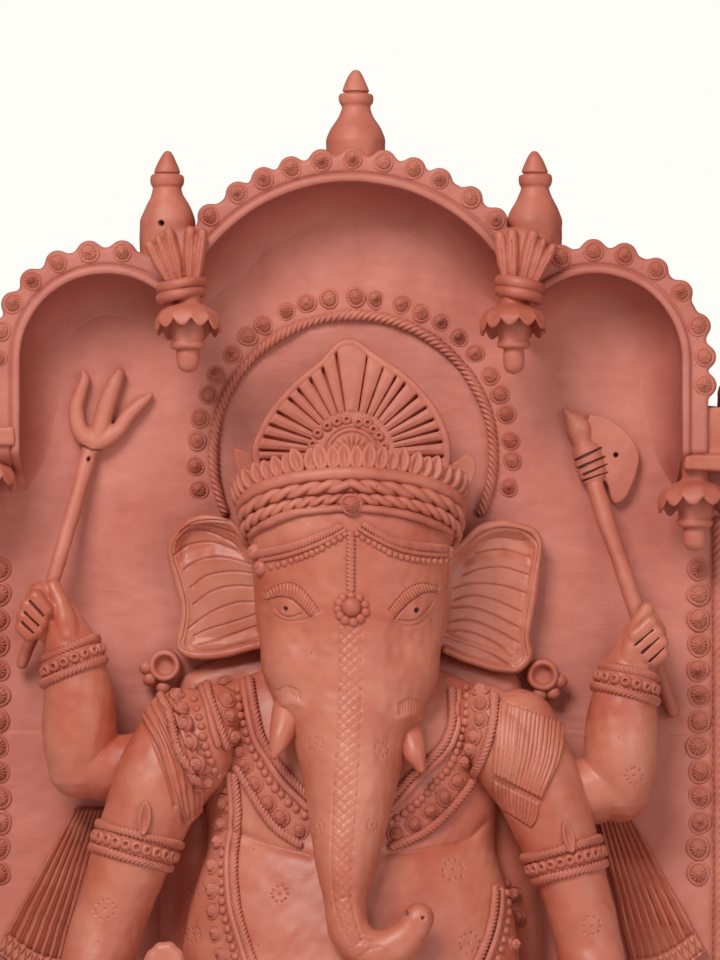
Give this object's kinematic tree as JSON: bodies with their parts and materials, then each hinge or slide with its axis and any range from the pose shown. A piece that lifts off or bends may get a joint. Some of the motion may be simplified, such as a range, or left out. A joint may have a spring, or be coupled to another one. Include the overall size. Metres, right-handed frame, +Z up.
{
  "type": "terracotta ganesha idol",
  "caption": "Terracotta idol of a seated elephant-headed deity with raised trident and axe, crowned, in a lobed arch niche with rosette borders on a slab plinth.",
  "frame": {"origin": "on the floor under the middle of the plinth", "axes": "+Z up, -Y the way the figure faces, +X to the viewer's right"},
  "size_m": [0.704, 0.244, 0.9887],
  "materials": {
    "panel_clay": "matte fired terracotta, wiped smooth",
    "figure_clay": "matte fired terracotta, slip-burnished",
    "ornament_clay": "matte fired terracotta, stamped and incised",
    "plinth_clay": "matte fired terracotta slabs"
  },
  "bodies": {
    "root": {"arch_centre": "ornament_clay", "arch_left": "ornament_clay", "arch_right": "ornament_clay", "armlet_left": "ornament_clay", "armlet_right": "ornament_clay", "axe": "ornament_clay", "back_panel_lower": "panel_clay", "back_panel_upper": "panel_clay", "border_rope_left": "ornament_clay", "border_rope_right": "ornament_clay", "brow_flower": "ornament_clay", "capital_left": "ornament_clay", "capital_right": "ornament_clay", "crown_boss": "ornament_clay", "crown_cap": "ornament_clay", "crown_fan": "ornament_clay", "crown_leaf_left": "ornament_clay", "crown_leaf_right": "ornament_clay", "crown_petals": "ornament_clay", "ear_left": "figure_clay", "ear_right": "figure_clay", "earring_left": "ornament_clay", "earring_right": "ornament_clay", "finial_centre": "ornament_clay", "finial_left": "ornament_clay", "finial_outer_left": "ornament_clay", "finial_outer_right": "ornament_clay", "finial_right": "ornament_clay", "front_arm_left": "figure_clay", "front_arm_right": "figure_clay", "garland": "ornament_clay", "halo_rope": "ornament_clay", "head_and_trunk": "figure_clay", "leg_left": "figure_clay", "leg_right": "figure_clay", "necklace": "ornament_clay", "pendant_left": "ornament_clay", "pendant_outer_left": "ornament_clay", "pendant_outer_right": "ornament_clay", "pendant_right": "ornament_clay", "plinth_back": "plinth_clay", "plinth_front": "plinth_clay", "plinth_seat": "plinth_clay", "plinth_side_left": "plinth_clay", "plinth_side_right": "plinth_clay", "rear_arm_left": "figure_clay", "rear_arm_right": "figure_clay", "scarf_end_left": "figure_clay", "scarf_end_right": "figure_clay", "sheaf_bracket_left": "ornament_clay", "sheaf_bracket_right": "ornament_clay", "shoulder_cloth_left": "figure_clay", "shoulder_cloth_right": "figure_clay", "torso": "figure_clay", "trident": "ornament_clay", "tusk_left": "figure_clay", "tusk_right": "figure_clay", "wrist_band_left": "ornament_clay", "wrist_band_right": "ornament_clay"}
  },
  "joints": []
}
